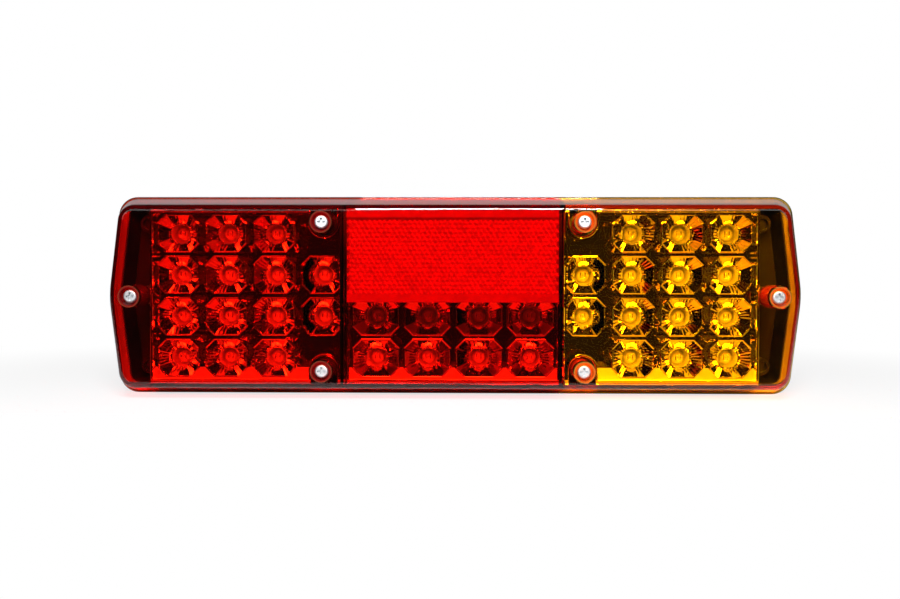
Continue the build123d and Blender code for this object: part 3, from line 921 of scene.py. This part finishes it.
# Finishes of the CAD pieces that stay
finishes = {
    "lens_red": lens_red,
    "lens_amber": lens_amber,
    "housing": black_plastic,
    "gasket": gasket_foam,
    "reflex_backing": backing_plastic,
    "lens_screws": bright_zinc,
    "module_screws": zinc,
    "cable_grommet": rubber,
    "terminal_block": terminal_plastic,
    "terminal_screws": brass,
    "resistors": resistor_coat,
}
for section in SECTIONS:
    finishes[f"board_{section}"] = board_mask
    finishes[f"wires_{section}"] = wire_skin
for node, material in finishes.items():
    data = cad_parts[node].data
    data.materials.clear()
    data.materials.append(material)


# Studio


def make_world():
    """Studio that is dark beside the camera and low behind the lamp, and white to the camera itself."""
    world = bpy.data.worlds.new("studio")
    bpy.context.scene.world = world
    world.use_nodes = True
    tree = world.node_tree
    axes = tree.nodes.new("ShaderNodeSeparateXYZ")
    tree.links.new(coordinates(tree, "Generated"), axes.inputs["Vector"])
    back = add_range(tree, axes.outputs["Y"], BACK_RANGE, (0.0, BACK_RISE), "SMOOTHSTEP")
    share = add_range(tree, axes.outputs["Z"], LOW_RANGE, (LOW_SHARE, 1.0), "SMOOTHSTEP")
    strength = add_math(tree, "MULTIPLY_ADD", back, share, STUDIO_DARK)
    seen = add_math(tree, "MAXIMUM", strength, rays(tree, "Is Camera Ray"))
    background = tree.nodes["Background"]
    background.inputs["Color"].default_value = (1, 1, 1, 1)
    tree.links.new(seen, background.inputs["Strength"])


def make_floor():
    """Pale floor under the lamp that keeps a soft shadow near it and fades to white away from it."""
    data = bpy.data.meshes.new("floor")
    level = cad_box[0][2] - FLOOR_GAP
    corners = [(x, y, level) for x in (-FLOOR_SIDE, FLOOR_SIDE) for y in (FLOOR_FRONT, FLOOR_BACK)]
    data.from_pydata(corners, [], [(0, 2, 3, 1)])
    floor = bpy.data.objects.new("floor", data)
    bpy.context.scene.collection.objects.link(floor)
    material, shader = principled("paper", PAPER_COLOUR, PAPER_ROUGHNESS)
    tree = material.node_tree
    glow = tree.nodes.new("ShaderNodeEmission")
    glow.inputs["Color"].default_value = (1, 1, 1, 1)
    glow.inputs["Strength"].default_value = 1.0
    away = add_vector_math(tree, "LENGTH", coordinates(tree, "Object"))
    white = add_range(tree, away, SHADOW_RANGE, WHITE_RANGE, "SMOOTHSTEP")
    share = add_math(tree, "MULTIPLY", white, rays(tree, "Is Camera Ray"))
    mix_surface(tree, share, shader.outputs["BSDF"], glow.outputs["Emission"])
    floor.data.materials.append(material)


def add_softbox(name, place, size, radiance):
    """Rectangular lamp that shines at the origin."""
    data = bpy.data.lights.new(name, "AREA")
    data.shape = "RECTANGLE"
    data.size, data.size_y = size
    data.energy = radiance * math.pi * size[0] * size[1]
    lamp = bpy.data.objects.new(name, data)
    lamp.location = place
    lamp.rotation_mode = "QUATERNION"
    lamp.rotation_quaternion = (-Vector(place)).to_track_quat("-Z", "Y")
    lamp.visible_camera = False
    bpy.context.scene.collection.objects.link(lamp)


def make_camera():
    """Camera at the photograph's place."""
    data = bpy.data.cameras.new("camera")
    data.sensor_width = SENSOR_WIDTH
    data.lens = FOCAL_PIXELS * SENSOR_WIDTH / IMAGE_WIDTH
    camera = bpy.data.objects.new("camera", data)
    yaw, pitch = math.radians(CAMERA_YAW), math.radians(CAMERA_PITCH)
    aim = Vector((math.sin(yaw) * math.cos(pitch), math.cos(yaw) * math.cos(pitch), math.sin(pitch)))
    camera.location = stand(CAMERA_PLACE)
    camera.rotation_mode = "QUATERNION"
    roll = Quaternion((0, 0, 1), math.radians(CAMERA_ROLL))
    camera.rotation_quaternion = aim.to_track_quat("-Z", "Y") @ roll
    bpy.context.scene.collection.objects.link(camera)
    bpy.context.scene.camera = camera


make_world()
make_floor()
add_softbox("key_box", KEY_PLACE, KEY_SIZE, KEY_RADIANCE)
card_x, card_y, card_z = CARD_PLACE
add_softbox("card_right", (card_x, card_y, card_z), CARD_SIZE, CARD_RADIANCE)
add_softbox("card_left", (-card_x, card_y, card_z), CARD_SIZE, CARD_RADIANCE)
make_camera()

scene = bpy.context.scene
scene.view_settings.view_transform = "Standard"
scene.cycles.max_bounces = 20
scene.cycles.transmission_bounces = 14
scene.cycles.glossy_bounces = 10
scene.cycles.transparent_max_bounces = 16
scene.cycles.sample_clamp_indirect = 20
